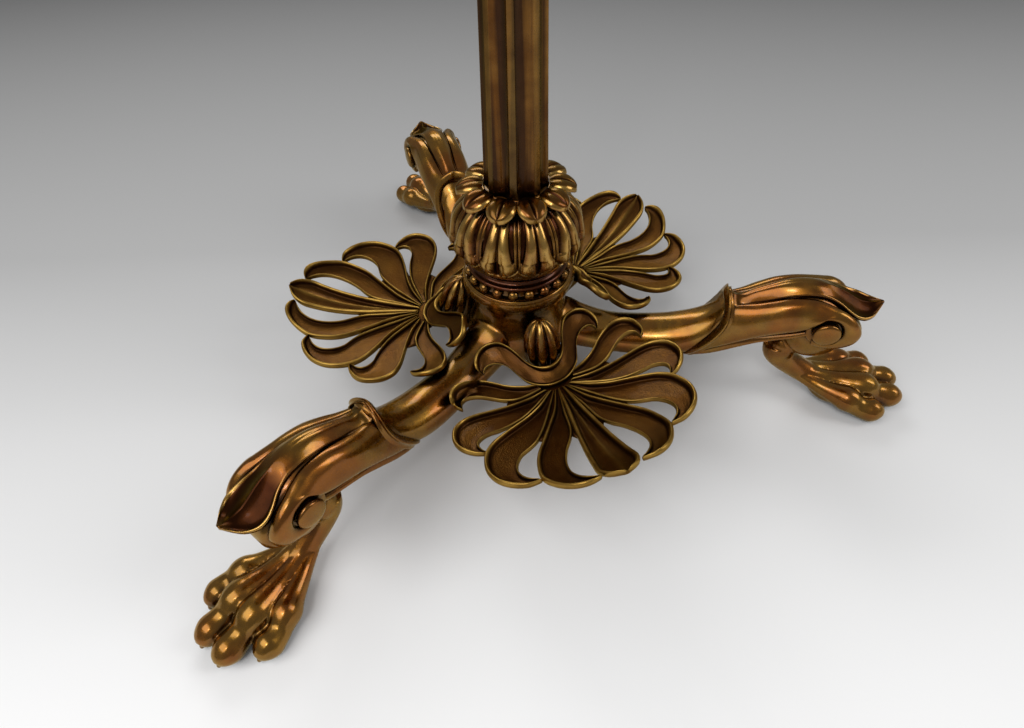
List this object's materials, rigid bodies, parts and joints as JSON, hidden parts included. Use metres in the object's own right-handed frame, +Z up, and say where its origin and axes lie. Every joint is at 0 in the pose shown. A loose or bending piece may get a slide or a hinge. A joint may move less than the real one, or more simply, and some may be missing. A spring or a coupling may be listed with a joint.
{
  "type": "tripod column stand",
  "caption": "Bronze column stand: a tapering fluted shaft on a leafy lobed knop, over a tripod base of lion-paw legs with pierced palmettes between them.",
  "frame": {"origin": "middle of the box round the whole stand, on the floor; the column's axis stands 50.9 mm towards -Y from it", "axes": "+Z up along the column, +Y towards the back leg, +X to the right as seen from the front palmette"},
  "size_m": [0.4506, 0.4095, 0.64],
  "materials": {
    "aged_bronze": "cast bronze, brown-gold patina, brighter on rubbed edges and dark in the hollows",
    "dark_bronze": "cast bronze, darker red-brown patina, stippled ground and rubbed rims",
    "steel": "plain turned steel, dulled"
  },
  "bodies": {
    "root": {"spider": "aged_bronze", "drum_collar": "aged_bronze", "bead_ring": "aged_bronze", "cavetto_ring": "dark_bronze", "lobed_knop": "aged_bronze", "leaf_collar": "aged_bronze", "column_shaft": "aged_bronze", "column_grub_screw": "steel", "capital": "aged_bronze", "top_plate": "aged_bronze", "tie_rod": "steel", "bottom_washer": "steel", "bottom_nut": "steel", "top_nut": "steel", "knee_back": "aged_bronze", "paw_back": "aged_bronze", "volute_button_back_1": "aged_bronze", "volute_button_back_2": "aged_bronze", "cross_pin_back": "steel", "cuff_screw_back": "steel", "knee_left": "aged_bronze", "paw_left": "aged_bronze", "volute_button_left_1": "aged_bronze", "volute_button_left_2": "aged_bronze", "cross_pin_left": "steel", "cuff_screw_left": "steel", "knee_right": "aged_bronze", "paw_right": "aged_bronze", "volute_button_right_1": "aged_bronze", "volute_button_right_2": "aged_bronze", "cross_pin_right": "steel", "cuff_screw_right": "steel", "palmette_front": "dark_bronze", "bud_front": "aged_bronze", "palmette_bracket_front": "dark_bronze", "palmette_screw_front": "steel", "bud_screw_front": "steel", "palmette_right": "dark_bronze", "bud_right": "aged_bronze", "palmette_bracket_right": "dark_bronze", "palmette_screw_right": "steel", "bud_screw_right": "steel", "palmette_left": "dark_bronze", "bud_left": "aged_bronze", "palmette_bracket_left": "dark_bronze", "palmette_screw_left": "steel", "bud_screw_left": "steel"}
  },
  "joints": []
}
